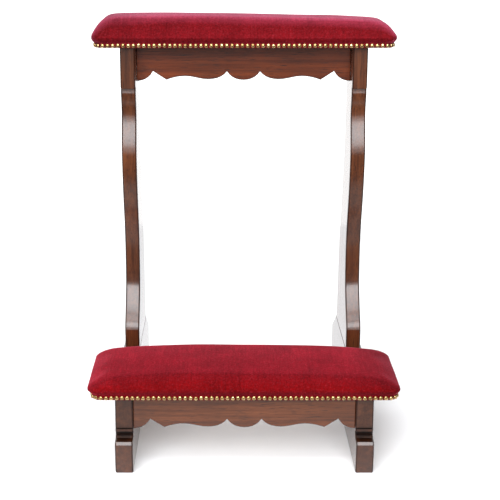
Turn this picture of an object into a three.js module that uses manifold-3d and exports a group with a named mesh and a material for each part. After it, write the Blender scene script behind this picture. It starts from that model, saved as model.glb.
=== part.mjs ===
// An upholstered prayer kneeler: two shaped side frames joined by aprons and rails, a low padded
// board to kneel on and a high padded board to lean on, each edged with a row of dome nails.
// Millimetres. +X is the right-hand side seen by the person who kneels, +Y runs away from that
// person, +Z is up. The origin is on the floor, under the middle of the whole kneeler.

import * as THREE from "three";
import { mergeVertices } from "three/addons/utils/BufferGeometryUtils.js";
import Module from "manifold-3d";

// Overall sizes
const overallDepth = 528; // toe's front to heel, along Y
const sideSpacing = 431; // clear width between the two side frames
const padOverhang = 84.5; // how far both pads reach past the side frames' inner faces
const padLength = sideSpacing + 2 * padOverhang; // along X
const kneelerSeatHeight = 149; // floor to the underside of the kneeler pad
const armrestSeatHeight = 796; // floor to the underside of the armrest pad

// Clearances and overruns
const fit = 0.3; // between two pieces that meet
const dowelRoom = 1; // spare depth at a dowel's end
const overrun = 5; // how far a cutter runs out of the face that it enters

// Base side: the board on the floor, with the front leg and toe, and a heel behind
const baseThickness = 35;
const baseRearHeight = 169; // the step behind the kneeler pad, where the upright stands
const seatStepDepth = 209; // from the toe's front to that step
const toeSetback = 3.5; // the toe's front leans back by this at the floor
const toeHeight = 59.5;
const toeBevelDepth = 3; // the bevel along the toe's upper edge
const toeBevelRise = 5.5;
const coveHeight = 14.5; // hollow between the toe and the leg
const coveReach = 29; // how far back the handles of its curve stand
const lipSetback = 19.5; // narrow lip between the hollow and the leg's face
const lipHeight = 4.8;
const legSetbackLow = 22;
const legSetbackHigh = 23;
const heelLength = 82; // from the end of the level top to the heel's upright back

// Heel outline, from the top of the base to its upright back, as shares of its depth and height
const heelShares = [
  [0.14, 0.955],
  [0.52, 0.84],
  [0.84, 0.75],
  [0.97, 0.69],
  [1, 0.6],
];

// Upright: the wavy board from the base up to the armrest
const uprightThickness = 30;
const uprightFootSetback = 227; // from the toe's front to the upright's front at its foot
const uprightFootDepth = 209;
const uprightFootBlock = 42; // straight stretch of the front edge at the foot
const uprightTopBlock = 82; // straight stretch of the front edge at the top
const uprightTopDepth = 109;
const uprightTopStep = 7; // how far the front edge steps back under the top block
const uprightFrontSwing = 53; // furthest that the front edge swings back from the foot's front
const uprightTopSwing = 20; // how far the top block stands back from the foot's front

// Front edge between the two blocks: shares of the height between them and of the swing
const frontEdgeShares = [
  [0.027, 0.1],
  [0.075, 0.42],
  [0.149, 0.81],
  [0.195, 0.94],
  [0.274, 1],
  [0.361, 0.97],
  [0.451, 0.81],
  [0.542, 0.56],
  [0.63, 0.39],
  [0.713, 0.31],
  [0.753, 0.33],
  [0.793, 0.41],
  [0.833, 0.51],
  [0.869, 0.59],
  [0.897, 0.62],
  [0.924, 0.6],
  [0.953, 0.53],
  [0.975, 0.49],
  [0.988, 0.5],
];

// Back edge, from the top down: shares of the height and of the way out from top to foot
const backEdgeShares = [
  [0.863, 0],
  [0.694, 0.04],
  [0.572, 0.22],
  [0.384, 0.59],
  [0.256, 0.79],
  [0.132, 0.87],
  [0.067, 0.91],
];

// Edges of the boards
const sideArris = 2.8; // rounding of the side frames' edges
const railArris = 1.2; // rounding of the aprons' and rails' edges
const arrisSteps = 2;
const curveSteps = 4; // steps along each piece of a curved outline

// Aprons and rails between the side frames
const railThickness = 20;
const scallopDepth = 20; // from an apron's lowest point up to its highest notch
const upperApronSetback = 286; // from the toe's front to the face of the upper apron
const upperApronHeight = 72;
const upperRailSetback = 333;
const upperRailHeight = 45;
const lowerApronSetback = 26;
const lowerApronHeight = 66;
const lowerRailSetback = 165;
const lowerRailHeight = 58;

// Half of the scalloped edge, from an end to the middle. Each stretch runs to a point, through
// its handles: shares of the apron's length and of the scallop's depth, measured from the notch.
const scallopStartShare = 1;
const scallopShares = [
  { handles: [[0.053, 0.97]], end: [0.076, 0] },
  { handles: [], end: [0.139, 0.88] },
  { handles: [[0.182, 0.5]], end: [0.2275, 0.5] },
  { handles: [[0.2665, 0.5], [0.294, 0.82]], end: [0.335, 0.82] },
  { handles: [[0.395, 0.82]], end: [0.4225, 0.03] },
  { handles: [[0.448, 0.89]], end: [0.5, 0.89] },
];

// Dowels
const dowelSides = 8;
const railDowelRadius = 4;
const railDowelLength = 32;
const railDowelDrops = { high: 13, low: 33 }; // below the rail's top edge
const footDowelRadius = 5;
const footDowelLength = 60;
const footDowelDepths = { front: 38, middle: 105, rear: 172 }; // behind the foot's front

// Cleats under the pads, and their screws
const cleatSection = 18;
const cleatArris = 0.8;
const screwLength = 30;
const screwRadius = 2;
const screwTipRadius = 0.5;
const screwTipLength = 4;
const screwHeadRadius = 3.8;
const screwHeadHeight = 2.4;
const screwSides = 8;
const longCleatShares = { up: [0.15, 0.7], out: [0.3, 0.85] };
const shortCleatShares = { up: [0.28], out: [0.72] };

// Pads: a board, a foam block and a velvet cover that is nailed to the board's edge
const boardThickness = 17.5;
const coverThickness = 2;
const padCornerRadius = 24; // seen from above
const padWidestHeight = 18; // height at which the sides bulge furthest
const skirtInset = 6; // how far the nailed lower edge is drawn in
const skirtLean = 1; // how much of that is given back at the top of the nailed strip
const skirtHeight = 10;
const cornerSteps = 4;
const longSideSteps = 10;
const shortSideSteps = 4;

// Each pad's padding. The rolls are how far its edges take to round over, and the falls are what
// share of its height is lost on the way from its middle to its ends and to its front and back.
const kneelerPad = {
  front: 3,
  depth: 202,
  height: 53,
  endRoll: 39,
  sideRoll: 30,
  rollPower: 1,
  endFall: 0.5,
  endFallPower: 3.4,
  sideFall: 0.17,
  sideFallPower: 2,
};
const armrestPad = {
  front: 224,
  depth: 164,
  height: 58,
  endRoll: 40,
  sideRoll: 54,
  rollPower: 1.6,
  endFall: 0.125,
  endFallPower: 2.6,
  sideFall: 0.07,
  sideFallPower: 2,
};
const rollSteps = 5;
const crownShares = [0.8, 0.5, 0.2];

// Dome nails, pressed in one strip whose heads are joined by narrow necks
const nailPitch = 10.15;
const nailHead = { radius: 4.3, height: 2.8, shoulderRadius: 3.1, shoulderHeight: 1.9 };
const nailNeck = { radius: 1.6, height: 0.7, shoulderRadius: 1.2, shoulderHeight: 0.6 };

// Finishes
const finishes = {
  walnut: { color: 0x4a2416, roughness: 0.32, metalness: 0 },
  velvet: { color: 0x8c0f26, roughness: 0.95, metalness: 0 },
  foam: { color: 0xd9cfa6, roughness: 1, metalness: 0 },
  plywood: { color: 0xb58a58, roughness: 0.8, metalness: 0 },
  beech: { color: 0xc79a68, roughness: 0.75, metalness: 0 },
  brass: { color: 0xb08a45, roughness: 0.35, metalness: 1 },
  steel: { color: 0x9a9a9c, roughness: 0.4, metalness: 1 },
};

const wasm = await Module();
wasm.setup();

// Solids and booleans

function toSolid(geometry) {
  const bare = geometry.clone();
  bare.deleteAttribute("normal");
  bare.deleteAttribute("uv");
  const merged = mergeVertices(bare);
  return new wasm.Manifold(
    new wasm.Mesh({
      numProp: 3,
      vertProperties: merged.attributes.position.array,
      triVerts: new Uint32Array(merged.index.array),
    }),
  );
}

function toGeometry(solid) {
  const { vertProperties, triVerts } = solid.getMesh();
  const geometry = new THREE.BufferGeometry();
  geometry.setAttribute("position", new THREE.BufferAttribute(vertProperties, 3));
  geometry.setIndex(new THREE.BufferAttribute(triVerts, 1));
  geometry.computeVertexNormals();
  return geometry;
}

function cut(geometry, cutters) {
  const parts = cutters.map(toSolid);
  const whole = parts.reduce((left, cutter) => left.subtract(cutter), toSolid(geometry));
  return toGeometry(whole);
}

function piece(name, geometry, finish) {
  const mesh = new THREE.Mesh(geometry, new THREE.MeshStandardMaterial(finishes[finish]));
  mesh.name = name;
  return mesh;
}

// Lofts: closed bodies through a row of loops with equal numbers of points

// Each loop runs anticlockwise about the direction in which the row of loops goes. Each face between
// two loops is cut along its shorter diagonal.
function bandBetween(points, low, high, count) {
  return Array.from({ length: count }, (_, i) => {
    const next = (i + 1) % count;
    const [a, b, c, d] = [low + i, low + next, high + next, high + i];
    const rising = points[a].distanceTo(points[c]);
    const falling = points[b].distanceTo(points[d]);
    return rising < falling ? [a, b, c, a, c, d] : [a, b, d, b, c, d];
  }).flat();
}

function meshOf(points, indices) {
  const geometry = new THREE.BufferGeometry();
  const positions = points.flatMap((point) => point.toArray());
  geometry.setAttribute("position", new THREE.Float32BufferAttribute(positions, 3));
  geometry.setIndex(indices);
  geometry.computeVertexNormals();
  return geometry;
}

// Both ends are closed by a fan around the middle of the end loop
function loft(loops) {
  const count = loops[0].length;
  const lastRow = (loops.length - 1) * count;
  const startHub = loops.length * count;
  const endHub = startHub + 1;
  const points = [...loops.flat(), middleOf(loops[0]), middleOf(loops.at(-1))];
  const bands = loops
    .slice(1)
    .flatMap((_, row) => bandBetween(points, row * count, (row + 1) * count, count));
  const fans = Array.from({ length: count }, (_, i) => {
    const next = (i + 1) % count;
    return [next, i, startHub, lastRow + i, lastRow + next, endHub];
  }).flat();
  return meshOf(points, [...bands, ...fans]);
}

// A row of loops that comes back to its start
function ringLoft(loops) {
  const count = loops[0].length;
  const points = loops.flat();
  const bands = loops.flatMap((_, row) =>
    bandBetween(points, row * count, ((row + 1) % loops.length) * count, count),
  );
  return meshOf(points, bands);
}

function middleOf(loop) {
  const middle = new THREE.Vector3();
  loop.forEach((point) => middle.add(point));
  return middle.divideScalar(loop.length);
}

function circleLoop(radius, z, sides) {
  return Array.from({ length: sides }, (_, i) => {
    const angle = (2 * Math.PI * i) / sides;
    return new THREE.Vector3(radius * Math.cos(angle), radius * Math.sin(angle), z);
  });
}

// A round bar from a radius-and-height list, standing on its axis along Z
function turned(profile, sides) {
  return loft(profile.map(([radius, z]) => circleLoop(radius, z, sides)));
}

// Outlines

function baseSideShape() {
  const coveFloor = toeHeight + toeBevelRise;
  const coveRoof = coveFloor + coveHeight;
  const heelTopDepth = overallDepth - heelLength;
  const shape = new THREE.Shape();
  shape.moveTo(toeSetback, 0);
  shape.quadraticCurveTo(0, toeHeight / 4, 0, toeHeight / 2);
  shape.lineTo(0, toeHeight);
  shape.lineTo(toeBevelDepth, coveFloor);
  shape.bezierCurveTo(coveReach, coveFloor, coveReach, coveRoof, lipSetback, coveRoof);
  shape.lineTo(lipSetback, coveRoof + lipHeight);
  shape.lineTo(legSetbackLow, coveRoof + lipHeight);
  shape.lineTo(legSetbackHigh, kneelerSeatHeight);
  shape.lineTo(seatStepDepth, kneelerSeatHeight);
  shape.lineTo(seatStepDepth, baseRearHeight);
  shape.lineTo(heelTopDepth, baseRearHeight);
  shape.splineThru(
    heelShares.map(
      ([back, up]) => new THREE.Vector2(heelTopDepth + back * heelLength, up * baseRearHeight),
    ),
  );
  shape.lineTo(overallDepth, 0);
  shape.closePath();
  return shape;
}

function uprightShape() {
  const foot = baseRearHeight + fit;
  const height = armrestSeatHeight - foot;
  const front = uprightFootSetback;
  const topFront = front + uprightTopSwing;
  const topBack = topFront + uprightTopDepth;
  const wave = height - uprightFootBlock - uprightTopBlock;
  const footBack = front + uprightFootDepth;
  const shape = new THREE.Shape();
  shape.moveTo(front, foot);
  shape.lineTo(front, foot + uprightFootBlock);
  shape.splineThru([
    ...frontEdgeShares.map(
      ([up, back]) =>
        new THREE.Vector2(front + back * uprightFrontSwing, foot + uprightFootBlock + up * wave),
    ),
    new THREE.Vector2(topFront + uprightTopStep, armrestSeatHeight - uprightTopBlock),
  ]);
  shape.lineTo(topFront, armrestSeatHeight - uprightTopBlock);
  shape.lineTo(topFront, armrestSeatHeight);
  shape.lineTo(topBack, armrestSeatHeight);
  shape.splineThru([
    ...backEdgeShares.map(
      ([up, back]) =>
        new THREE.Vector2(topBack + back * (footBack - topBack), foot + up * height),
    ),
    new THREE.Vector2(footBack, foot),
  ]);
  shape.closePath();
  return shape;
}

// The lower edge of a scalloped apron, from its left end to its right end
function scallopedEdge(length, lowest) {
  const at = ([along, drop]) => [along * length, lowest + (1 - drop) * scallopDepth];
  const path = new THREE.Path();
  path.moveTo(...at([0, scallopStartShare]));
  scallopShares.forEach(({ handles, end }) => {
    const points = [...handles, end].flatMap(at);
    const draw = [path.lineTo, path.quadraticCurveTo, path.bezierCurveTo][handles.length];
    draw.apply(path, points);
  });
  const half = path.getPoints(curveSteps + 1);
  const mirrored = half.slice(0, -1).reverse();
  return [...half, ...mirrored.map((point) => new THREE.Vector2(length - point.x, point.y))];
}

function apronShape(length, height, scalloped) {
  const low = scalloped
    ? scallopedEdge(length, 0)
    : [new THREE.Vector2(0, 0), new THREE.Vector2(length, 0)];
  return new THREE.Shape([...low, new THREE.Vector2(length, height), new THREE.Vector2(0, height)]);
}

// A board cut from an outline, with its edges rounded. It lies from Z = 0 up to its thickness.
function board(shape, thickness, arris, steps) {
  return new THREE.ExtrudeGeometry(shape, {
    depth: thickness - 2 * arris,
    bevelThickness: arris,
    bevelSize: arris,
    bevelOffset: -arris,
    bevelSegments: steps,
    curveSegments: curveSteps,
  }).translate(0, 0, arris);
}

// Turns a board drawn in depth and height so that its thickness runs along +X
function standAlongX(geometry) {
  const axes = [new THREE.Vector3(0, 1, 0), new THREE.Vector3(0, 0, 1), new THREE.Vector3(1, 0, 0)];
  return geometry.applyMatrix4(new THREE.Matrix4().makeBasis(...axes));
}

// Turns a board drawn in length and height so that its thickness runs along +Y from Y = 0
function standAlongY(geometry, thickness) {
  return geometry.rotateX(Math.PI / 2).translate(0, thickness, 0);
}

// Dowels and screws, each along +Z or along +X

function dowel(radius, length) {
  return turned([[radius, -length / 2], [radius, length / 2]], dowelSides);
}

function dowelHole(radius, length) {
  return dowel(radius + fit, length + 2 * dowelRoom);
}

// The screw's head is level with Z = 0 and its tip points up. Room around it makes its hole.
function screw(room, headRun) {
  const neck = screwHeadHeight + room;
  return turned(
    [
      [screwHeadRadius + room, -headRun],
      [screwHeadRadius + room, 0],
      [screwRadius + room, neck],
      [screwRadius + room, screwLength - screwTipLength],
      [screwTipRadius + room, screwLength + room],
    ].filter((_, i) => headRun > 0 || i > 0),
    screwSides,
  );
}

function layAlongX(geometry) {
  return geometry.rotateY(Math.PI / 2);
}

// Aprons, rails and cleats, with the places of their dowels and screws

const rails = [
  {
    name: "upper_front_apron",
    setback: upperApronSetback,
    top: armrestSeatHeight,
    height: upperApronHeight,
    scalloped: true,
  },
  {
    name: "upper_rear_rail",
    setback: upperRailSetback,
    top: armrestSeatHeight,
    height: upperRailHeight,
    scalloped: false,
  },
  {
    name: "lower_front_apron",
    setback: lowerApronSetback,
    top: kneelerSeatHeight,
    height: lowerApronHeight,
    scalloped: true,
  },
  {
    name: "lower_rear_rail",
    setback: lowerRailSetback,
    top: kneelerSeatHeight,
    height: lowerRailHeight,
    scalloped: false,
  },
];

const cleats = [
  {
    name: "armrest_cleat",
    front: upperApronSetback + railThickness + fit,
    back: upperRailSetback - fit,
    top: armrestSeatHeight,
    shares: shortCleatShares,
  },
  {
    name: "kneeler_cleat",
    front: lowerApronSetback + railThickness + fit,
    back: lowerRailSetback - fit,
    top: kneelerSeatHeight,
    shares: longCleatShares,
  },
];

function railDowelPlaces({ name, setback, top }) {
  return Object.entries(railDowelDrops).map(([label, drop]) => ({
    name: `${name}_dowel_${label}`,
    at: [0, setback + railThickness / 2, top - drop],
  }));
}

// Screws that rise through a cleat into the pad's board, and screws that run out of it sideways
// into the side frame
function cleatScrews({ name, front, back, top, shares }) {
  const along = (share) => front + share * (back - front);
  const up = shares.up.map((share, i) => ({
    name: `${name}_up_screw_${i + 1}`,
    turn: (geometry) => geometry,
    at: [-fit - cleatSection / 2, along(share), top - cleatSection],
  }));
  const out = shares.out.map((share, i) => ({
    name: `${name}_side_screw_${i + 1}`,
    turn: layAlongX,
    at: [-fit - cleatSection, along(share), top - cleatSection / 2],
  }));
  return { up, out };
}

function placedScrew({ turn, at }, room, headRun) {
  return turn(screw(room, headRun)).translate(...at);
}

function footDowelPlaces() {
  return Object.entries(footDowelDepths).map(([label, depth]) => ({
    name: `upright_dowel_${label}`,
    at: [uprightThickness / 2, uprightFootSetback + depth, baseRearHeight + fit / 2],
  }));
}

// Side frames. Here X = 0 is a side frame's inner face and +X runs outwards.

// Holes for everything that enters a side board: rail dowels and cleat screws at one seat height,
// and the dowels between the upright and the base
function sideHoles(seatHeight) {
  const here = ({ top }) => top === seatHeight;
  return [
    ...rails
      .filter(here)
      .flatMap(railDowelPlaces)
      .map(({ at }) => layAlongX(dowelHole(railDowelRadius, railDowelLength)).translate(...at)),
    ...cleats
      .filter(here)
      .flatMap((cleat) => cleatScrews(cleat).out)
      .map((place) => placedScrew(place, fit, overrun)),
    ...footDowelPlaces().map(({ at }) =>
      dowelHole(footDowelRadius, footDowelLength).translate(...at),
    ),
  ];
}

function sideBoard(shape, thickness, seatHeight) {
  const blank = standAlongX(board(shape, thickness, sideArris, arrisSteps));
  return cut(blank, sideHoles(seatHeight));
}

function cleatBlock(cleat) {
  const length = cleat.back - cleat.front;
  const section = new THREE.Shape([
    new THREE.Vector2(0, 0),
    new THREE.Vector2(cleatSection, 0),
    new THREE.Vector2(cleatSection, cleatSection),
    new THREE.Vector2(0, cleatSection),
  ]);
  const block = standAlongY(board(section, length, cleatArris, 1), length).translate(
    -fit - cleatSection,
    cleat.front,
    cleat.top - cleatSection,
  );
  const { up, out } = cleatScrews(cleat);
  return cut(
    block,
    [...up, ...out].map((place) => placedScrew(place, fit, overrun)),
  );
}

// One side frame. The left one is the right one seen in a mirror.
function sideFrame(side, direction) {
  const frame = new THREE.Group();
  const add = (name, geometry, finish) => frame.add(piece(`${name}_${side}`, geometry, finish));
  frame.position.x = (direction * sideSpacing) / 2;
  frame.scale.x = direction;
  add("base_side", sideBoard(baseSideShape(), baseThickness, kneelerSeatHeight), "walnut");
  add("upright", sideBoard(uprightShape(), uprightThickness, armrestSeatHeight), "walnut");
  footDowelPlaces().forEach(({ name, at }) => {
    add(name, dowel(footDowelRadius, footDowelLength).translate(...at), "beech");
  });
  rails.flatMap(railDowelPlaces).forEach(({ name, at }) => {
    add(name, layAlongX(dowel(railDowelRadius, railDowelLength)).translate(...at), "beech");
  });
  cleats.forEach((cleat) => {
    const { up, out } = cleatScrews(cleat);
    add(cleat.name, cleatBlock(cleat), "beech");
    [...up, ...out].forEach((place) => add(place.name, placedScrew(place, 0, 0), "steel"));
  });
  return frame;
}

// Aprons and rails across the kneeler

function rail(spec) {
  const length = sideSpacing - 2 * fit;
  const shape = apronShape(length, spec.height, spec.scalloped);
  const flat = board(shape, railThickness, railArris, 1);
  const stood = standAlongY(flat, railThickness);
  const placed = stood.translate(-length / 2, spec.setback, spec.top - spec.height);
  const holes = [-1, 1].flatMap((end) =>
    railDowelPlaces(spec).map(({ at: [, y, z] }) =>
      layAlongX(dowelHole(railDowelRadius, railDowelLength)).translate(
        (end * sideSpacing) / 2,
        y,
        z,
      ),
    ),
  );
  return cut(placed, holes);
}

// Pads. Here the origin is the middle of the pad's underside.

// A rectangle with round corners seen from above, anticlockwise, with the same points at any size
function roundedLoop(halfLength, halfDepth, radius, z) {
  const corners = [[1, -1, shortSideSteps], [1, 1, longSideSteps]];
  const turns = [...corners, ...corners.map(([x, y, steps]) => [-x, -y, steps])];
  const arcs = turns.map(([x, y], turn) => {
    const start = (turn - 1) * (Math.PI / 2);
    return Array.from({ length: cornerSteps + 1 }, (_, i) => {
      const angle = start + (i / cornerSteps) * (Math.PI / 2);
      return new THREE.Vector3(
        x * (halfLength - radius) + radius * Math.cos(angle),
        y * (halfDepth - radius) + radius * Math.sin(angle),
        z,
      );
    });
  });
  return arcs.flatMap((arc, turn) => {
    const from = arc.at(-1);
    const to = arcs[(turn + 1) % arcs.length][0];
    const steps = turns[turn][2];
    const straight = Array.from({ length: steps - 1 }, (_, i) =>
      from.clone().lerp(to, (i + 1) / steps),
    );
    return [...arc, ...straight];
  });
}

// The drawn-in strip that is nailed to the board, up to where the sides bulge furthest
function skirtLoops(pad, skin) {
  const levels = [
    [skirtInset, 0],
    [skirtInset - skirtLean, skirtHeight],
  ];
  return levels.map(([inset, z]) =>
    roundedLoop(
      padLength / 2 - inset - skin,
      pad.depth / 2 - inset - skin,
      padCornerRadius - inset - skin,
      z,
    ),
  );
}

// How much of a pad's height is left at a place seen from above
function crownAt(pad, x, y) {
  const endLoss = pad.endFall * Math.abs(x / (padLength / 2)) ** pad.endFallPower;
  const sideLoss = pad.sideFall * Math.abs(y / (pad.depth / 2)) ** pad.sideFallPower;
  return (1 - endLoss) * (1 - sideLoss);
}

// From the widest level up over the rolled edge and the crowned top, at a depth below the skin
function crownLoops(pad, skin) {
  const rolled = Array.from({ length: rollSteps + 1 }, (_, i) => {
    const angle = (i / rollSteps) * (Math.PI / 2);
    const inward = 1 - Math.cos(angle);
    const outward = skin * Math.cos(angle);
    return {
      halfLength: padLength / 2 - pad.endRoll * inward - outward,
      halfDepth: pad.depth / 2 - pad.sideRoll * inward - outward,
      radius: padCornerRadius - outward,
      up: Math.sin(angle) ** pad.rollPower,
      down: skin * Math.sin(angle),
    };
  });
  const rim = rolled.at(-1);
  const crowned = crownShares.map((share) => ({
    ...rim,
    halfLength: rim.halfLength * share,
    halfDepth: rim.halfDepth * share,
    radius: rim.radius * share,
  }));
  return [...rolled, ...crowned].map(({ halfLength, halfDepth, radius, up, down }) =>
    roundedLoop(halfLength, halfDepth, radius, padWidestHeight - down).map((point) => {
      const rise = (pad.height - padWidestHeight) * up * crownAt(pad, point.x, point.y);
      return new THREE.Vector3(point.x, point.y, point.z + rise);
    }),
  );
}

function cover(pad) {
  const skinLoops = (skin) => [...skirtLoops(pad, skin), ...crownLoops(pad, skin)];
  return loft([...skinLoops(coverThickness).reverse(), ...skinLoops(0)]);
}

function foam(pad) {
  return loft(crownLoops(pad, coverThickness + fit));
}

function padBoard(pad, seatHeight) {
  const inset = skirtInset + coverThickness + fit;
  const outlines = [0, boardThickness].map((z) =>
    roundedLoop(padLength / 2 - inset, pad.depth / 2 - inset, padCornerRadius - inset, z),
  );
  const holes = cleats
    .filter(({ top }) => top === seatHeight)
    .flatMap((cleat) => cleatScrews(cleat).up)
    .flatMap(({ at: [x, y, z] }) =>
      [-1, 1].map((end) =>
        screw(fit, overrun).translate(
          end * (sideSpacing / 2 + x),
          y - pad.front - pad.depth / 2,
          z - seatHeight - fit,
        ),
      ),
    );
  return cut(loft(outlines), holes);
}

// Dome nails

// The line around a pad along which the nails stand, seen from above
function nailLine(pad) {
  const inset = skirtInset - skirtLean / 2;
  const radius = padCornerRadius - inset;
  const farX = padLength / 2 - inset;
  const farY = pad.depth / 2 - inset;
  const turn = Math.PI / 2;
  const line = new THREE.Path();
  line.moveTo(0, -farY);
  line.absarc(farX - radius, radius - farY, radius, -turn, 0, false);
  line.absarc(farX - radius, farY - radius, radius, 0, turn, false);
  line.absarc(radius - farX, farY - radius, radius, turn, 2 * turn, false);
  line.absarc(radius - farX, radius - farY, radius, 2 * turn, 3 * turn, false);
  line.lineTo(0, -farY);
  return line;
}

// The strip's section at one place: a dome's or a neck's outline, standing on the cover
function nailSection(line, share, { radius, height, shoulderRadius, shoulderHeight }) {
  const foot = line.getPointAt(share);
  const tangent = line.getTangentAt(share);
  const outward = new THREE.Vector2(tangent.y, -tangent.x);
  const outline = [
    [radius, 0],
    [shoulderRadius, shoulderHeight],
    [0, height],
    [-shoulderRadius, shoulderHeight],
    [-radius, 0],
  ];
  return outline.map(([up, out]) => {
    const reach = fit + out + (up * skirtLean) / skirtHeight;
    const point = foot.clone().addScaledVector(outward, reach);
    return new THREE.Vector3(point.x, point.y, skirtHeight / 2 + up);
  });
}

function nailStrip(pad) {
  const line = nailLine(pad);
  const count = Math.round(line.getLength() / nailPitch);
  const sections = Array.from({ length: count }, (_, i) => [
    nailSection(line, i / count, nailHead),
    nailSection(line, (i + 1 / 2) / count, nailNeck),
  ]);
  return ringLoft(sections.flat());
}

function padGroup(name, pad, seatHeight) {
  const group = new THREE.Group();
  group.position.set(0, pad.front + pad.depth / 2, seatHeight + fit);
  group.add(piece(`${name}_board`, padBoard(pad, seatHeight), "plywood"));
  group.add(piece(`${name}_foam`, foam(pad), "foam"));
  group.add(piece(`${name}_cover`, cover(pad), "velvet"));
  group.add(piece(`${name}_nails`, nailStrip(pad), "brass"));
  return group;
}

// The whole kneeler. Inside this group Y is the distance behind the toes' fronts.
const kneeler = new THREE.Group();
kneeler.position.y = -overallDepth / 2;
kneeler.add(sideFrame("right", 1), sideFrame("left", -1));
rails.forEach((spec) => kneeler.add(piece(spec.name, rail(spec), "walnut")));
kneeler.add(padGroup("kneeler", kneelerPad, kneelerSeatHeight));
kneeler.add(padGroup("armrest", armrestPad, armrestSeatHeight));

export default kneeler;
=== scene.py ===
# An upholstered prayer kneeler: velvet pads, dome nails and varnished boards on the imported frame.
# Metres. +X is the right-hand side seen by the person who kneels, +Y runs away from that person.

import math

import bmesh
import bpy
import numpy as np
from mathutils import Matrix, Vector, noise


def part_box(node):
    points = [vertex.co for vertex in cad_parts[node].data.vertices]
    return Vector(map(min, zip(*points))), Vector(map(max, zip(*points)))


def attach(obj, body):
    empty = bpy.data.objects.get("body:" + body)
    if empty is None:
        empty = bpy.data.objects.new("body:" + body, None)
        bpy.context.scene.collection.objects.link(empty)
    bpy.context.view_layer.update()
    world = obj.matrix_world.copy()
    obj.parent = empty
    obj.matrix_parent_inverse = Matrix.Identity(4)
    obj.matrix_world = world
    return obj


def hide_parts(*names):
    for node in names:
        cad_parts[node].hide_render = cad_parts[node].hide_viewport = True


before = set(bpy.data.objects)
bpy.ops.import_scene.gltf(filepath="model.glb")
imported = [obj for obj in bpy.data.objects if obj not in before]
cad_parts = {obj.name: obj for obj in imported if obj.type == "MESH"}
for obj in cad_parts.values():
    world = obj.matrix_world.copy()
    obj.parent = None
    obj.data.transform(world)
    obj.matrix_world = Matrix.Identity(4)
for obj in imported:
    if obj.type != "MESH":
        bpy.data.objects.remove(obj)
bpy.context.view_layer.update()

MM = 0.001

# The camera stands in front of the kneeling pad and looks down on it
CAMERA_PLACE = (-0.043, -2.3246, 1.049)
CAMERA_PITCH = math.radians(14.931)
FOCAL_PIXELS = 1164.6
PICTURE_PIXELS = 500
SENSOR_WIDTH = 36.0
AXIS_PIXEL = (222.18, 225.0)  # where the camera's axis meets the picture

# Pads, in millimetres: the drawn-in nailed edge, the bulge above it and the rolled, crowned top
PADS = ("kneeler", "armrest")
BAND_HEIGHT = 10.0
BAND_INSET = 6.0
BAND_LEAN = 1.0
BAND_THICKNESS = 2.0
BODY_START_HEIGHT = 7.0
OVERHANG_INSET = 3.0
BULGE_HEIGHT = 18.0
FORM_INSET = -4.0  # it stands out, because the mesh draws in when it is evened and smoothed
CORNER_RADIUS = 24.0
CORNER_STEPS = 10
LONG_STEPS = 60
SHORT_STEPS = 14

# Section of the nailed edge: how far each point stands in from the band's inset, and its height
BAND_SECTION = (
    (BAND_THICKNESS, 0.6), (0.6, 0.1), (0.1, 0.8), (-0.4, BAND_HEIGHT / 2),
    (-0.9, BAND_HEIGHT + 1), (BAND_THICKNESS, BAND_HEIGHT + 1),
)

# What differs between the pads: how far the ends and sides take to roll over, what share of the
# height is lost on the way to the ends and to the sides, how much lower the form is than the filled
# pad, and how far the left end stands high and out
PAD_SHAPES = {
    "kneeler": {
        "end_roll": 39.0, "side_roll": 30.0, "roll_power": 1.0,
        "end_fall": 0.5, "end_power": 3.4, "side_fall": 0.17, "side_power": 2.0,
        "sink": 3.6, "lift": 2.4, "left_push": 3.0,
    },
    "armrest": {
        "end_roll": 40.0, "side_roll": 54.0, "roll_power": 1.6,
        "end_fall": 0.125, "end_power": 2.6, "side_fall": 0.07, "side_power": 2.0,
        "sink": 1.2, "lift": 4.4, "left_push": 0.0,
    },
}
ROLL_STEPS = 9
CROWN_SHARES = (0.93, 0.86, 0.78, 0.7, 0.6, 0.5, 0.38, 0.25, 0.1)
LEFT_PUSH_POWER = 6

# Swelling of the padding under its cover
VOXEL = 5.0 * MM
CLOTH_FRAMES = 20
CLOTH_SETTINGS = {
    "quality": 6,
    "mass": 0.3,
    "tension_stiffness": 12,
    "compression_stiffness": 12,
    "shear_stiffness": 6,
    "bending_stiffness": 1.5,
    "use_pressure": True,
    "uniform_pressure_force": 4.0,
}
CLOTH_CAP = 2.5 * MM
CLOTH_SMOOTHING = 14
PINNED_HEIGHT = 13.0 * MM
LUMP_SIZE = 0.09
LUMP_RISE = 0.9 * MM

# Puckers where the nails draw the cover in
PUCKER_DEPTH = 0.55 * MM
PUCKER_REACH = 14.0 * MM

# Dome nails, in millimetres, and how unevenly they are driven in
NAIL_PITCH = 10.15
NAIL_RADIUS = 4.3
NAIL_RISE = 2.8
NAIL_RIM_HEIGHT = 0.35
NAIL_RIM_WIDTH = 0.6
NAIL_HOLLOW_HEIGHT = 0.25
NAIL_SIDES = 14
NAIL_RINGS = 5
NAIL_SHARP_ANGLE = math.radians(50)
NAIL_SHANK_RADIUS = 0.8
NAIL_SHANK_LENGTH = 3.0
NAIL_SHANK_TOP = 0.4
NAIL_TIP_LENGTH = 1.0
NAIL_SEED = 7
NAIL_TILT_SPREAD = 0.05
NAIL_UPWARD_TILT = (0.05, 0.06)  # mean and spread
NAIL_HEIGHT_SPREAD = 0.22
NAIL_STAND_OFF = 0.35
NAIL_STAND_OFF_SPREAD = 0.08

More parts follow.
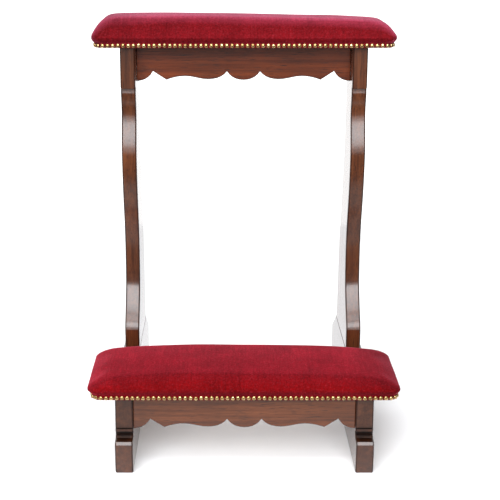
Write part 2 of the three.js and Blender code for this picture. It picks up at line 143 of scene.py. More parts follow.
# Colours, as linear red, green and blue
WHITE = (1, 1, 1)
WALNUT = ((0.3, (0.060, 0.0155, 0.0050)), (0.5, (0.097, 0.0265, 0.0080)), (0.7, (0.136, 0.0395, 0.0120)))
WALNUT_PORE = (0.016, 0.006, 0.004)
ARRIS_SHADE = (0.3, 0.26, 0.28)  # painted shade along the boards' long edges
BRASS = ((0.32, (0.20, 0.115, 0.042)), (0.5, (0.44, 0.28, 0.115)), (0.7, (0.74, 0.54, 0.27)))
PLYWOOD = ((0.3, (0.40, 0.25, 0.125)), (0.5, (0.52, 0.35, 0.19)), (0.72, (0.62, 0.45, 0.27)))
BEECH = ((0.3, (0.45, 0.265, 0.14)), (0.7, (0.62, 0.41, 0.235)))
BEECH_FLECK = (0.30, 0.15, 0.075)
ZINC = ((0.3, (0.42, 0.42, 0.43)), (0.7, (0.62, 0.61, 0.58)))

# The part of a noise's range that holds nearly all of its values
NOISE_RANGE = (0.3, 0.7)
UNSCALED = (1, 1, 1)

# Walnut: cycles a metre across and along the grain
SWAY_GRAIN = (7, 1.6)
FIGURE_GRAIN = (110, 2.2)
FIBRE_GRAIN = (620, 9)
PORE_GRAIN = (1150, 36)
CLOUD_SCALE = 7.0
GRAIN_SWAY = 0.02
# Walnut: the noise where pores and clouds start and are full, and the shades of fibres and clouds
PORE_RANGE = (0.62, 0.7)
CLOUD_RANGE = (0.35, 0.65)
CLOUD_SHADES = (0.84, 1.14)
FIBRE_SHADES = (0.72, 1.22)
SHARP_ANGLE = math.radians(20)
# How open a place is where the painted shade on the colour and the varnish is as inside a hollow, and
# where it is gone as on a plain face, then how much of the colour and the varnish is left in a hollow
OPEN_RANGE = (0.78, 0.96)
HOLLOW_SHADE = 0.12
HOLLOW_SHADED_VARNISH = 0.15
# How squarely a place looks as its broad face does, where the arris's painted shade starts, is full and
# ends
ARRIS_TURNS = (0.2, 0.4, 0.85, 0.97)
END_BLUR = 0.1
# The grain's axis, the axis that the broad faces look along, the place that the figure is cut from
# and the tone, partly the wood's own and partly painted light, as on the upper apron, made lighter and
# redder where the armrest shades it. Painted shade darkens hollows as wide as the shade reach. It darkens
# arrises too, but not where they look along the grain by more than the end limit, which over 1 has no
# effect.
WOODS = {
    "upright": {
        "grain_axis": "Z", "face_axis": "X", "shift": (0.3, 0.1, 0.7), "tone_and_light": (0.87, 0.87, 0.92),
        "shade_reach": 0.002, "end_limit": 2.0,
    },
    "base_side": {
        "grain_axis": "Y", "face_axis": "X", "shift": (0.9, 0.4, 0.2), "tone_and_light": (0.6, 0.58, 0.58),
        "shade_reach": 0.08, "end_limit": 2.0,
    },
    "upper": {
        "grain_axis": "X", "face_axis": "Y", "shift": (0.2, 0.8, 0.5), "tone_and_light": (1.22, 0.8, 0.5),
        "shade_reach": 0.002, "end_limit": 0.4,
    },
    "lower": {
        "grain_axis": "X", "face_axis": "Y", "shift": (0.6, 0.3, 0.1), "tone_and_light": (1.08, 1.04, 1.0),
        "shade_reach": 0.002, "end_limit": 0.4,
    },
}

# Velvet: its colours from where the pile faces the eye to where it is seen along its surface. The pink
# towards grazing views is painted sheen, and the stops also paint the light and shade on the pads.
SHEEN_AND_SHADE_NAPS = {
    "kneeler": (
        (0.0, (0.146, 0.0012, 0.0022)), (0.12, (0.136, 0.0020, 0.0040)), (0.35, (0.118, 0.0024, 0.0052)),
        (0.6, (0.175, 0.0036, 0.0090)), (0.8, (0.235, 0.0085, 0.0180)), (1.0, (0.360, 0.052, 0.088)),
    ),
    "armrest": (
        (0.0, (0.142, 0.0038, 0.0066)), (0.22, (0.108, 0.0022, 0.0040)), (0.5, (0.198, 0.0150, 0.0300)),
        (0.66, (0.300, 0.0330, 0.0660)), (0.8, (0.300, 0.0500, 0.0860)), (1.0, (0.25, 0.044, 0.078)),
    ),
}
PALE_PILE = (0.46, 0.07, 0.10)
PALE_PILE_SHARE = 0.11
PALE_PILE_RANGE = (0.5, 0.72)
SHEEN_TINT = (1.0, 0.3, 0.45)
# Painted light and shade at a pad's left and right ends: how much darker or lighter each end is drawn,
# and where that starts
END_SHADES = {"kneeler": (1.08, 0.78), "armrest": (0.68, 1.08)}
END_SHADE_REACH = 0.16
NAIL_SHADOW = 2.0 * MM
NAIL_SHADOW_RANGE = (0.2, 0.6)
NAIL_SHADE = 0.6
# How far the patches, streaks and specks of the pile swing to darker and lighter
PATCH_SWING = 0.18
STREAK_SWING = 0.12
SPECKLE_SWING = 0.3

# Studio: a room that is bright behind the kneeler and dim elsewhere, with lamps in front and above
FLOOR_FRONT = -0.85
FLOOR_SIDE = 1.4
FLOOR_BACK = 1.6
FLOOR_COLOR = (0.95, 0.93, 0.935)
FLOOR_FRONT_COLOR = (0.53, 0.505, 0.49)
PAPER_EDGE = (-0.5, -0.3)  # where the white paper starts
ROOM_FRONT = 0.15
ROOM_BACK = 1.6
ROOM_TURN = (0.25, 0.75)  # how far back a direction points where the room brightens and is brightest
SUN_ANGLE = math.radians(65)
SUN_STRENGTH = 1.3
SUN_TURN = (math.radians(30), 0.0, math.radians(-42))
LAMP_COLOR = (0.92, 0.97, 1.0)
# Lamps: width, height, radiance, place and target
LAMPS = {
    "front_wall": (3.4, 2.4, 2.1, (-0.5, -2.8, 1.94), (-0.5, 0.0, 1.94)),
    "front_window": (3.2, 1.5, 1.7, (-0.4, -2.79, 1.95), (-0.4, 0.0, 1.95)),
    "softbox": (3.2, 1.5, 4.9, (-0.4, -2.6, 2.03), (-0.2, 0.0, 0.3)),
    "ceiling_box": (1.5, 0.6, 6.0, (-0.1, -1.3, 2.35), (0.0, 0.0, 0.1)),
    "backdrop_lamp": (2.2, 1.2, 2.2, (-0.7, 1.3, 2.1), (-0.4, 0.9, 0.0)),
}


# Node helpers

def new_material(name):
    material = bpy.data.materials.new(name)
    material.use_nodes = True
    tree = material.node_tree
    return material, tree, tree.nodes["Principled BSDF"]


def set_socket(tree, socket, value):
    if isinstance(value, bpy.types.NodeSocket):
        tree.links.new(value, socket)
    elif isinstance(value, tuple) and socket.type == "RGBA":
        socket.default_value = (*value, 1.0)
    else:
        socket.default_value = value


def add_node(tree, kind, inputs=None, **settings):
    made = tree.nodes.new("ShaderNode" + kind)
    for name, value in settings.items():
        setattr(made, name, value)
    for name, value in (inputs or {}).items():
        set_socket(tree, made.inputs[name], value)
    return made


def object_place(tree):
    return add_node(tree, "TexCoord").outputs["Object"]


def one_axis(tree, vector, axis):
    return add_node(tree, "SeparateXYZ", {0: vector}).outputs[axis]


def stretched(tree, place, scale, shift=(0, 0, 0)):
    mapping = add_node(tree, "Mapping", {"Vector": place, "Scale": scale, "Location": shift})
    return mapping.outputs["Vector"]


def noise_value(tree, place, scale=1.0, detail=2.0, roughness=0.5, distortion=0.0):
    made = add_node(tree, "TexNoise", {
        "Vector": place,
        "Scale": scale,
        "Detail": detail,
        "Roughness": roughness,
        "Distortion": distortion,
    })
    return made.outputs["Fac"]


def remap(tree, value, from_range, to_low=0.0, to_high=1.0):
    made = add_node(tree, "MapRange", {
        "Value": value,
        "From Min": from_range[0],
        "From Max": from_range[1],
        "To Min": to_low,
        "To Max": to_high,
    })
    return made.outputs["Result"]


def math_node(tree, operation, first, second=0.0):
    made = add_node(tree, "Math", {0: first, 1: second}, operation=operation)
    return made.outputs["Value"]


def ramp(tree, value, stops):
    made = add_node(tree, "ValToRGB", {"Fac": value})
    elements = made.color_ramp.elements
    while len(elements) < len(stops):
        elements.new(0.5)
    for element, (position, color) in zip(elements, stops):
        element.position = position
        element.color = (*color, 1.0)
    return made.outputs["Color"]


def blend_colors(tree, factor, first, second, blend_type="MIX"):
    made = add_node(tree, "Mix", data_type="RGBA", blend_type=blend_type)
    sockets = [s for s in made.inputs if s.enabled]
    for socket, value in zip(sockets, (factor, first, second)):
        set_socket(tree, socket, value)
    return next(s for s in made.outputs if s.enabled)


def multiplied(tree, color, change):
    return blend_colors(tree, 1.0, color, change, "MULTIPLY")


def occlusion(tree, distance, **settings):
    return add_node(tree, "AmbientOcclusion", {"Distance": distance}, samples=8, **settings).outputs["AO"]


def bump(tree, shader, height, distance, strength, below=None):
    made = add_node(tree, "Bump", {"Height": height, "Distance": distance, "Strength": strength})
    if below is not None:
        tree.links.new(below, made.inputs["Normal"])
    tree.links.new(made.outputs["Normal"], shader.inputs["Normal"])
    return made.outputs["Normal"]


def finish_shader(tree, shader, **values):
    """Sets the shader's inputs. An underscore in a name stands for a space."""
    for name, value in values.items():
        set_socket(tree, shader.inputs[name.replace("_", " ")], value)


# Finishes

def varnished_walnut(name, grain_axis, face_axis, shift, tone_and_light, shade_reach, end_limit):
    """Stained hardwood under varnish, with painted shade in its hollows and along its arrises, where the
    colour is darker and the varnish reflects less.
    """
    material, tree, shader = new_material(name)
    place = object_place(tree)

    def grain_noise(vector, cycles, shift=(0, 0, 0), **settings):
        across, along = cycles
        scale = tuple(along if axis == grain_axis else across for axis in "XYZ")
        return noise_value(tree, stretched(tree, vector, scale, shift), **settings)

    sway = grain_noise(place, SWAY_GRAIN, shift, detail=1.0)
    swayed = add_node(tree, "VectorMath", {
        0: place,
        1: math_node(tree, "MULTIPLY", sway, GRAIN_SWAY),
    }, operation="ADD")
    shifted = stretched(tree, swayed.outputs["Vector"], UNSCALED, shift)
    figure = grain_noise(shifted, FIGURE_GRAIN, detail=3.0, roughness=0.6)
    fibre = grain_noise(shifted, FIBRE_GRAIN, detail=3.0, roughness=0.6)
    pore = grain_noise(shifted, PORE_GRAIN, detail=1.0)
    cloud = noise_value(tree, stretched(tree, place, UNSCALED, shift), scale=CLOUD_SCALE)

    wood = ramp(tree, figure, WALNUT)
    wood = multiplied(tree, wood, remap(tree, fibre, NOISE_RANGE, *FIBRE_SHADES))
    wood = multiplied(tree, wood, remap(tree, cloud, CLOUD_RANGE, *CLOUD_SHADES))
    pores = remap(tree, pore, PORE_RANGE)
    wood = blend_colors(tree, pores, wood, WALNUT_PORE)
    # The part's tone, which also holds painted light where a part is shaded
    wood = multiplied(tree, wood, tone_and_light)
    # Painted shade in hollows: the colour darkens where the place is less open
    openness = occlusion(tree, shade_reach, only_local=True)
    wood = multiplied(tree, wood, remap(tree, openness, OPEN_RANGE, HOLLOW_SHADE))

    # Painted shade along the arrises, held off where they look along the grain
    normal = add_node(tree, "TexCoord").outputs["Normal"]
    turned = math_node(tree, "ABSOLUTE", one_axis(tree, normal, face_axis))
    arris = ramp(tree, turned, tuple(zip(ARRIS_TURNS, (WHITE, ARRIS_SHADE, ARRIS_SHADE, WHITE))))
    endwise = math_node(tree, "ABSOLUTE", one_axis(tree, normal, grain_axis))
    held = remap(tree, endwise, (end_limit - END_BLUR, end_limit), 1.0, 0.0)
    held = blend_colors(tree, held, WHITE, arris)
    wood = multiplied(tree, wood, held)

    # Painted shade on the varnish: it reflects less in hollows and on the arrises
    varnish = remap(tree, openness, OPEN_RANGE, HOLLOW_SHADED_VARNISH)
    finish_shader(
        tree, shader,
        Base_Color=wood,
        Roughness=remap(tree, fibre, NOISE_RANGE, 0.3, 0.42),
        Specular_IOR_Level=0.12,
        Coat_Weight=math_node(tree, "MINIMUM", varnish, held),
        Coat_Roughness=0.2,
        Coat_IOR=1.52,
    )
    bump(tree, shader, math_node(tree, "SUBTRACT", fibre, pores), distance=0.12 * MM, strength=0.55)
    return material


def crimson_velvet(pad):
    """Short cut pile. Its colour goes by how steeply it is seen, with painted sheen at grazing views,
    painted light and shade at its ends and painted shade next to the nails.
    """
    material, tree, shader = new_material(pad + "_velvet_pile")
    place = object_place(tree)
    patches = noise_value(tree, place, scale=16.0, detail=3.0, roughness=0.55, distortion=0.7)
    streaks = noise_value(tree, stretched(tree, place, (300, 16, 16)), roughness=0.6)
    speckle = noise_value(tree, place, scale=260.0, detail=3.0, roughness=0.65)
    fibres = noise_value(tree, place, scale=430.0, roughness=0.6)
    pile = noise_value(tree, place, scale=1300.0, roughness=0.7)

    grazing = add_node(tree, "LayerWeight", {"Blend": 0.5}).outputs["Facing"]
    # Painted sheen and shade: the colour goes by how steeply the pile is seen
    color = ramp(tree, grazing, SHEEN_AND_SHADE_NAPS[pad])
    half_length = pad_size(pad)[0] * MM
    # Painted light and shade towards the pad's ends
    along = remap(tree, one_axis(tree, place, "X"), (-half_length, half_length))
    left, right = END_SHADES[pad]
    ends = ramp(tree, along, (
        (0, (left,) * 3), (END_SHADE_REACH, WHITE), (1 - END_SHADE_REACH, WHITE), (1, (right,) * 3),
    ))
    color = multiplied(tree, color, ends)
    gaps = occlusion(tree, NAIL_SHADOW)
    color = multiplied(tree, color, remap(tree, gaps, NAIL_SHADOW_RANGE, NAIL_SHADE))
    pale = remap(tree, fibres, PALE_PILE_RANGE, 0.0, PALE_PILE_SHARE)
    color = blend_colors(tree, pale, color, PALE_PILE)
    for value, swing in ((patches, PATCH_SWING), (streaks, STREAK_SWING), (speckle, SPECKLE_SWING)):
        color = multiplied(tree, color, remap(tree, value, NOISE_RANGE, 1 - swing, 1 + swing))

    finish_shader(
        tree, shader,
        Base_Color=color,
        Roughness=0.92,
        Specular_IOR_Level=0.05,
        Sheen_Weight=0.12,
        Sheen_Roughness=0.3,
        Sheen_Tint=SHEEN_TINT,
    )
    coarse = bump(tree, shader, speckle, distance=0.6 * MM, strength=0.5)
    bump(tree, shader, pile, distance=0.4 * MM, strength=0.6, below=coarse)
    return material


def antique_brass(name):
    """Brass domes: bright where they are rubbed, brown lacquer in the low places."""
    material, tree, shader = new_material(name)
    place = object_place(tree)
    tarnish = noise_value(tree, place, scale=160.0, detail=3.0, roughness=0.6)
    scratches = noise_value(tree, place, scale=2400.0, roughness=0.6)
    finish_shader(
        tree, shader,
        Base_Color=ramp(tree, tarnish, BRASS),
        Metallic=1.0,
        Roughness=remap(tree, tarnish, NOISE_RANGE, 0.36, 0.2),
    )
    bump(tree, shader, scratches, distance=0.05 * MM, strength=0.4)
    return material


def pad_plywood(name):
    """Bare plywood: broad face figure below, and the veneers' edges round the sides."""
    material, tree, shader = new_material(name)
    place = object_place(tree)
    sheets = stretched(tree, place, (3, 42, 42))
    figure = noise_value(tree, sheets, detail=4.0, roughness=0.6, distortion=0.5)
    fibre = noise_value(tree, stretched(tree, place, (14, 700, 700)))
    color = multiplied(tree, ramp(tree, figure, PLYWOOD), remap(tree, fibre, NOISE_RANGE, 0.82, 1.12))
    finish_shader(tree, shader, Base_Color=color, Roughness=remap(tree, fibre, NOISE_RANGE, 0.62, 0.8))
    bump(tree, shader, fibre, distance=0.2 * MM, strength=0.5)
    return material


def bare_beech(name, grain_axis):
    material, tree, shader = new_material(name)
    place = object_place(tree)
    scale = tuple(8 if axis == grain_axis else 260 for axis in "XYZ")
    fibre = noise_value(tree, stretched(tree, place, scale), detail=3.0)
    fleck = noise_value(tree, stretched(tree, place, tuple(3 * s for s in scale)), detail=1.0)
    color = ramp(tree, fibre, BEECH)
    color = blend_colors(tree, remap(tree, fleck, (0.6, 0.7), 0.0, 0.5), color, BEECH_FLECK)
    finish_shader(tree, shader, Base_Color=color, Roughness=remap(tree, fibre, NOISE_RANGE, 0.55, 0.72))
    bump(tree, shader, fibre, distance=0.2 * MM, strength=0.4)
    return material


def zinc_steel(name):
    material, tree, shader = new_material(name)
    spangle = noise_value(tree, object_place(tree), scale=700.0)
    finish_shader(
        tree, shader,
        Base_Color=ramp(tree, spangle, ZINC),
        Metallic=1.0,
        Roughness=remap(tree, spangle, NOISE_RANGE, 0.3, 0.45),
    )
    return material


# Boards, rails, cleats, dowels and screws keep their own solids

def dress_node(node_name, material):
    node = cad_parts[node_name]
    node.data.materials.clear()
    node.data.materials.append(material)


def smooth_node(node_name):
    """Shades curved faces as one surface and keeps the corners sharp."""
    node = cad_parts[node_name]
    node.data.shade_smooth()
    node.modifiers.new("joined", "WELD").merge_threshold = 0.01 * MM
    node.modifiers.new("corners", "EDGE_SPLIT").split_angle = SHARP_ANGLE
    node.modifiers.new("shading", "WEIGHTED_NORMAL")


def dress_frame():
    """Gives each hard node the finish of the first word here that its name holds."""
    rules = [
        ("screw", zinc_steel("zinc_steel")),
        ("upright_dowel", bare_beech("beech_tall", "Z")),
        ("dowel", bare_beech("beech_across", "X")),
        ("cleat", bare_beech("beech_deep", "Y")),
        ("board", pad_plywood("pad_plywood")),
    ]
    rules += [(word, varnished_walnut(word + "_walnut", **settings)) for word, settings in WOODS.items()]
    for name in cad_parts:
        material = next((m for word, m in rules if word in name), None)
        if material is not None:
            dress_node(name, material)
            smooth_node(name)


# Pads. Outlines and loops are in millimetres from the middle of a pad's underside, meshes in metres.

def rounded_outline(half_length, half_depth, radius, z):
    """A rectangle with round corners seen from above, with the same points at any size."""
    corners = ((1, -1, SHORT_STEPS), (1, 1, LONG_STEPS), (-1, 1, SHORT_STEPS), (-1, -1, LONG_STEPS))
    arcs = []
    for turn, (x, y, _) in enumerate(corners):
        angles = (turn - 1 + np.arange(CORNER_STEPS + 1) / CORNER_STEPS) * math.pi / 2
        arcs.append(np.stack([
            x * (half_length - radius) + radius * np.cos(angles),
            y * (half_depth - radius) + radius * np.sin(angles),
        ], axis=1))
    points = []
    for turn, arc in enumerate(arcs):
        steps = corners[turn][2]
        following = arcs[(turn + 1) % len(arcs)][0]
        share = (np.arange(1, steps) / steps)[:, None]
        points += [arc, arc[-1] * (1 - share) + following * share]
    flat = np.concatenate(points)
    return np.column_stack([flat, np.full(len(flat), z)])


def add_object(name, made):
    """A new object from a bmesh, which is freed."""
    bmesh.ops.recalc_face_normals(made, faces=made.faces)
    data = bpy.data.meshes.new(name)
    made.to_mesh(data)
    made.free()
    shown = bpy.data.objects.new(name, data)
    bpy.context.scene.collection.objects.link(shown)
    return shown


def loft_mesh(name, loops, closed_row=False):
    """A mesh through loops of equal length. An open row is closed at each end by one face."""
    made = bmesh.new()
    rows = [[made.verts.new(Vector(point) * MM) for point in loop] for loop in loops]
    pairs = list(zip(rows, rows[1:]))
    if closed_row:
        pairs.append((rows[-1], rows[0]))
    else:
        made.faces.new(reversed(rows[0]))
        made.faces.new(rows[-1])
    count = len(rows[0])
    for low, high in pairs:
        for i in range(count):
            j = (i + 1) % count
            made.faces.new((low[i], low[j], high[j], high[i]))
    return add_object(name, made)


def pad_size(pad):
    """Half length, half depth and height of a pad in millimetres, and where its underside's middle is."""
    low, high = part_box(pad + "_cover")
    middle = Vector(((low.x + high.x) / 2, (low.y + high.y) / 2, low.z))
    size = (high - low) / MM
    return size.x / 2, size.y / 2, size.z, middle


def inset_outline(pad, inset, z):
    half_length, half_depth, _, _ = pad_size(pad)
    return rounded_outline(half_length - inset, half_depth - inset, CORNER_RADIUS - inset, z)


def crowned(pad, loop, half_length, half_depth, height):
    """A loop on the padding's domed top. The loop's own height is its share of the whole height."""
    shape = PAD_SHAPES[pad]
    along = np.abs(loop[:, 0] / half_length)
    across = np.abs(loop[:, 1] / half_depth)
    end_loss = shape["end_fall"] * along ** shape["end_power"]
    side_loss = shape["side_fall"] * across ** shape["side_power"]
    rise = loop[:, 2] * (height - BULGE_HEIGHT) * (1 - end_loss) * (1 - side_loss)
    return np.column_stack([loop[:, :2], BULGE_HEIGHT + rise])


def pad_form(pad):
    """The padding as it is cut."""
    half_length, half_depth, height, _ = pad_size(pad)
    shape = PAD_SHAPES[pad]
    loops = [
        inset_outline(pad, BAND_INSET, BODY_START_HEIGHT),
        inset_outline(pad, OVERHANG_INSET, BAND_HEIGHT),
    ]
    half_length -= FORM_INSET
    half_depth -= FORM_INSET
    height -= shape["sink"]
    for step in range(ROLL_STEPS + 1):
        angle = step / ROLL_STEPS * math.pi / 2
        inward = 1 - math.cos(angle)
        loop = rounded_outline(
            half_length - shape["end_roll"] * inward,
            half_depth - shape["side_roll"] * inward,
            CORNER_RADIUS,
            math.sin(angle) ** shape["roll_power"],
        )
        loops.append(crowned(pad, loop, half_length, half_depth, height))
    for share in CROWN_SHARES:
        loop = rounded_outline(
            (half_length - shape["end_roll"]) * share,
            (half_depth - shape["side_roll"]) * share,
            CORNER_RADIUS * share,
            1.0,
        )
        loops.append(crowned(pad, loop, half_length, half_depth, height))
    return loft_mesh(pad + "_velvet", loops)


def apply_modifiers(shown):
    depsgraph = bpy.context.evaluated_depsgraph_get()
    baked = bpy.data.meshes.new_from_object(shown.evaluated_get(depsgraph))
    shown.modifiers.clear()
    shown.data = baked


def vertex_places(data):
    places = np.empty(len(data.vertices) * 3)
    data.vertices.foreach_get("co", places)
    return places.reshape(-1, 3)


def set_vertex_places(data, places):
    data.vertices.foreach_set("co", places.ravel())
    data.update()


def smoothed(data, values, rounds):
    """Each vertex's values averaged again and again with those of its neighbours."""
    ends = np.empty(len(data.edges) * 2, dtype=int)
    data.edges.foreach_get("vertices", ends)
    first, second = ends.reshape(-1, 2).T
    count = np.bincount(ends, minlength=len(values))[:, None] + 1
    for _ in range(rounds):
        total = values.copy()
        np.add.at(total, first, values[second])
        np.add.at(total, second, values[first])
        values = total / count
    return values


def even_mesh(shown):
    remesh = shown.modifiers.new("even", "REMESH")
    remesh.mode = "VOXEL"
    remesh.voxel_size = VOXEL
    apply_modifiers(shown)


def swell(shown):
    """Blows the cover up over its padding as cloth, with its nailed edge held fast."""
    before = vertex_places(shown.data)
    held = shown.vertex_groups.new(name="held")
    held.add([int(i) for i in np.flatnonzero(before[:, 2] < PINNED_HEIGHT)], 1.0, "REPLACE")
    cloth = shown.modifiers.new("swell", "CLOTH")
    for name, value in CLOTH_SETTINGS.items():
        setattr(cloth.settings, name, value)
    cloth.settings.vertex_group_mass = "held"
    cloth.settings.effector_weights.gravity = 0
    cloth.point_cache.frame_start = 1
    cloth.point_cache.frame_end = CLOTH_FRAMES
    for number in range(1, CLOTH_FRAMES + 1):
        bpy.context.scene.frame_set(number)
    apply_modifiers(shown)
    bpy.context.scene.frame_set(1)
    move = smoothed(shown.data, vertex_places(shown.data) - before, CLOTH_SMOOTHING)
    length = np.linalg.norm(move, axis=1, keepdims=True)
    kept = CLOTH_CAP * np.tanh(length / CLOTH_CAP)
    set_vertex_places(shown.data, before + move * kept / np.maximum(length, 1e-9))


def settle(shown, pad):
    """The padding's unevenness: it stands higher at its left end, and swells a little here and there."""
    places = vertex_places(shown.data)
    half_length, _, height, _ = pad_size(pad)
    leftward = -places[:, 0] / (half_length * MM)
    share = np.clip((places[:, 2] / MM - BULGE_HEIGHT) / (height - BULGE_HEIGHT), 0, 1)
    above = np.clip((places[:, 2] / MM - BODY_START_HEIGHT) / (BULGE_HEIGHT - BODY_START_HEIGHT), 0, 1)
    lumps = np.array([noise.noise(Vector(place) / LUMP_SIZE) for place in places])
    lift = leftward * PAD_SHAPES[pad]["lift"] * MM
    push = np.clip(leftward, 0, 1) ** LEFT_PUSH_POWER * PAD_SHAPES[pad]["left_push"] * MM
    places[:, 2] += share * (lift + lumps * LUMP_RISE)
    places[:, 0] -= above * push
    set_vertex_places(shown.data, places)


def pucker(shown, pad):
    """Draws the cover in at each nail and lets it swell between them."""
    places = vertex_places(shown.data)
    normals = np.empty(len(places) * 3)
    shown.data.vertices.foreach_get("normal", normals)
    fade = np.clip(1 - (places[:, 2] - BAND_HEIGHT * MM) / PUCKER_REACH, 0, 1)
    low = np.flatnonzero(fade)
    nails, facing = nail_places(pad)
    gaps = places[low, None, :2] - nails[None] * MM
    nearest = (gaps ** 2).sum(axis=2).argmin(axis=1)
    gap = gaps[np.arange(len(low)), nearest]
    beside = np.abs(gap[:, 1] * facing[nearest, 0] - gap[:, 0] * facing[nearest, 1])
    wave = np.cos(math.pi * np.clip(beside / (NAIL_PITCH * MM / 2), 0, 1))
    depth = PUCKER_DEPTH * fade[low] ** 2 * wave
    places[low] -= normals.reshape(-1, 3)[low] * depth[:, None]
    set_vertex_places(shown.data, places)


def subdivide(shown):
    shown.modifiers.new("fine", "SUBSURF").levels = 1
    apply_modifiers(shown)
    shown.data.shade_smooth()


def velvet_body(pad, material):
    body = pad_form(pad)
    even_mesh(body)
    swell(body)
    settle(body, pad)
    subdivide(body)
    pucker(body, pad)
    body.data.materials.append(material)
    body.location = pad_size(pad)[3]
    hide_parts(pad + "_cover", pad + "_foam")
    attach(body, "root")


def velvet_band(pad, material):
    """The cover's turned-in lower edge, round the board and under the nails."""
    loops = [inset_outline(pad, BAND_INSET + inward, z) for inward, z in BAND_SECTION]
    band = loft_mesh(pad + "_band", loops, closed_row=True)
    band.data.shade_smooth()
    band.data.materials.append(material)
    band.location = pad_size(pad)[3]
    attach(band, "root")


# Dome nails

def nail_places(pad):
    """Where the nails stand round a pad, with the way that each one faces, in millimetres."""
    fine = inset_outline(pad, BAND_INSET - BAND_LEAN / 2, 0)[:, :2]
    steps = np.linalg.norm(np.roll(fine, -1, axis=0) - fine, axis=1)
    travelled = np.concatenate([[0], np.cumsum(steps)])
    ring = np.vstack([fine, fine[:1]])
    count = round(travelled[-1] / NAIL_PITCH)
    wanted = (np.arange(count) + 0.5) / count * travelled[-1]
    places = np.column_stack([np.interp(wanted, travelled, ring[:, axis]) for axis in (0, 1)])
    ahead = np.roll(places, -1, axis=0) - np.roll(places, 1, axis=0)
    ahead /= np.linalg.norm(ahead, axis=1, keepdims=True)
    return places, np.column_stack([ahead[:, 1], -ahead[:, 0]])


def dome_profile():
    """Radius and height of a nail from the tip of its shank, round the rim, to the crown."""
    rings = [
        (0.0, -NAIL_SHANK_LENGTH),
        (NAIL_SHANK_RADIUS, NAIL_TIP_LENGTH - NAIL_SHANK_LENGTH),
        (NAIL_SHANK_RADIUS, NAIL_SHANK_TOP),
        (NAIL_RADIUS - NAIL_RIM_WIDTH, NAIL_HOLLOW_HEIGHT),
        (NAIL_RADIUS, 0.0),
        (NAIL_RADIUS, NAIL_RIM_HEIGHT),
    ]
    for ring in range(1, NAIL_RINGS):
        angle = ring / NAIL_RINGS * math.pi / 2
        height = NAIL_RIM_HEIGHT + (NAIL_RISE - NAIL_RIM_HEIGHT) * math.sin(angle)
        rings.append((NAIL_RADIUS * math.cos(angle), height))
    return rings + [(0.0, NAIL_RISE)]


def turned_ring(made, centre, radius, side, upward):
    """The vertices of a ring round a centre, or one vertex where the ring has no radius."""
    if radius == 0:
        return [made.verts.new(centre * MM)]
    return [
        made.verts.new((centre + (side * math.cos(a) + upward * math.sin(a)) * radius) * MM)
        for a in np.arange(NAIL_SIDES) * 2 * math.pi / NAIL_SIDES
    ]


def add_nail(made, place, outward, random):
    """One nail, driven in a little askew."""
    lean = Vector((
        random.normal(0, NAIL_TILT_SPREAD),
        random.normal(0, NAIL_TILT_SPREAD),
        random.normal(*NAIL_UPWARD_TILT),
    ))
    axis = (outward + lean).normalized()
    side = axis.cross(Vector((0, 0, 1))).normalized()
    upward = side.cross(axis)
    foot = Vector((*place, BAND_HEIGHT / 2 + random.normal(0, NAIL_HEIGHT_SPREAD)))
    foot += outward * (NAIL_STAND_OFF + random.normal(0, NAIL_STAND_OFF_SPREAD))
    rings = [
        turned_ring(made, foot + axis * height, radius, side, upward) for radius, height in dome_profile()
    ]
    for low, high in zip(rings, rings[1:]):
        for i in range(NAIL_SIDES):
            j = (i + 1) % NAIL_SIDES
            corners = (low[i % len(low)], low[j % len(low)], high[j % len(high)], high[i % len(high)])
            made.faces.new(dict.fromkeys(corners))


def dome_nails(pad, material):
    random = np.random.default_rng(NAIL_SEED)
    made = bmesh.new()
    for place, way in zip(*nail_places(pad)):
        add_nail(made, place, Vector((*way, 0.0)), random)
    nails = add_object(pad + "_dome_nails", made)
    nails.data.shade_smooth()
    nails.data.set_sharp_from_angle(angle=NAIL_SHARP_ANGLE)
    nails.data.materials.append(material)
    nails.location = pad_size(pad)[3]
    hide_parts(pad + "_nails")
    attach(nails, "root")


# Studio

def add_lamp(name, width, height, radiance, place, target):
    data = bpy.data.lights.new(name, "AREA")
    data.shape = "RECTANGLE"
    data.size = width
    data.size_y = height
    data.energy = radiance * math.pi * width * height
    data.color = LAMP_COLOR
    lamp = bpy.data.objects.new(name, data)
    bpy.context.scene.collection.objects.link(lamp)
    lamp.location = place
    lamp.rotation_euler = (Vector(target) - Vector(place)).to_track_quat("-Z", "Y").to_euler()


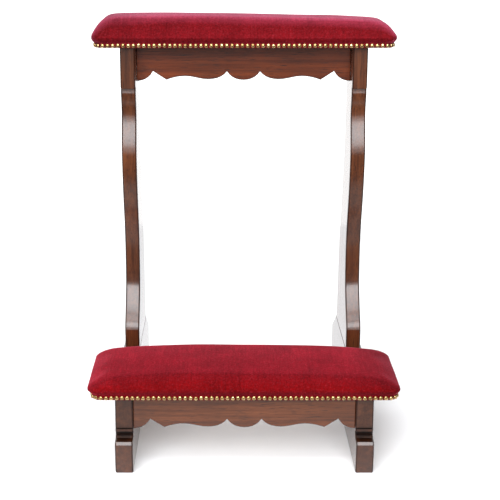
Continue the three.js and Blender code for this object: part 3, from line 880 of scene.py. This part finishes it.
def add_floor():
    """White paper that runs away behind the kneeler, on a grey floor that shows in the varnish."""
    data = bpy.data.meshes.new("floor")
    near, far, side = FLOOR_FRONT, FLOOR_BACK, FLOOR_SIDE
    corners = [(-side, near, 0), (side, near, 0), (side, far, 0), (-side, far, 0)]
    data.from_pydata(corners, [], [(0, 1, 2, 3)])
    floor = bpy.data.objects.new("floor", data)
    bpy.context.scene.collection.objects.link(floor)
    material, tree, shader = new_material("studio_floor")
    place = object_place(tree)
    grain = noise_value(tree, place, scale=40.0)
    paper = remap(tree, one_axis(tree, place, "Y"), PAPER_EDGE)
    finish_shader(
        tree, shader,
        Base_Color=blend_colors(tree, paper, FLOOR_FRONT_COLOR, FLOOR_COLOR),
        Roughness=remap(tree, grain, NOISE_RANGE, 0.9, 0.95),
        Specular_IOR_Level=0.1,
    )
    data.materials.append(material)


def add_world():
    """Bright behind, dim above and in front, and plain white where the camera sees past the floor."""
    world = bpy.data.worlds.new("studio")
    bpy.context.scene.world = world
    world.use_nodes = True
    tree = world.node_tree
    background = tree.nodes["Background"]
    way = add_node(tree, "TexCoord").outputs["Generated"]
    room = remap(tree, one_axis(tree, way, "Y"), ROOM_TURN, ROOM_FRONT, ROOM_BACK)
    seen = add_node(tree, "LightPath").outputs["Is Camera Ray"]
    set_socket(tree, background.inputs["Strength"], math_node(tree, "MAXIMUM", room, seen))
    set_socket(tree, background.inputs["Color"], WHITE)


def add_sun():
    """A sun so wide that it lights like a bright ceiling."""
    data = bpy.data.lights.new("ceiling", "SUN")
    data.angle = SUN_ANGLE
    data.energy = SUN_STRENGTH
    lamp = bpy.data.objects.new("ceiling", data)
    bpy.context.scene.collection.objects.link(lamp)
    lamp.rotation_euler = SUN_TURN


def add_studio():
    add_floor()
    add_world()
    add_sun()
    for name, settings in LAMPS.items():
        add_lamp(name, *settings)


def add_camera():
    data = bpy.data.cameras.new("camera")
    data.sensor_width = SENSOR_WIDTH
    data.lens = SENSOR_WIDTH * FOCAL_PIXELS / PICTURE_PIXELS
    data.shift_x = (PICTURE_PIXELS / 2 - AXIS_PIXEL[0]) / PICTURE_PIXELS
    data.shift_y = (AXIS_PIXEL[1] - PICTURE_PIXELS / 2) / PICTURE_PIXELS
    camera = bpy.data.objects.new("camera", data)
    bpy.context.scene.collection.objects.link(camera)
    camera.location = CAMERA_PLACE
    camera.rotation_euler = (math.pi / 2 - CAMERA_PITCH, 0, 0)
    bpy.context.scene.camera = camera


add_camera()
add_studio()
dress_frame()
brass = antique_brass("antique_brass")
for pad in PADS:
    velvet = crimson_velvet(pad)
    velvet_body(pad, velvet)
    velvet_band(pad, velvet)
    dome_nails(pad, brass)
bpy.context.scene.view_settings.view_transform = "Standard"
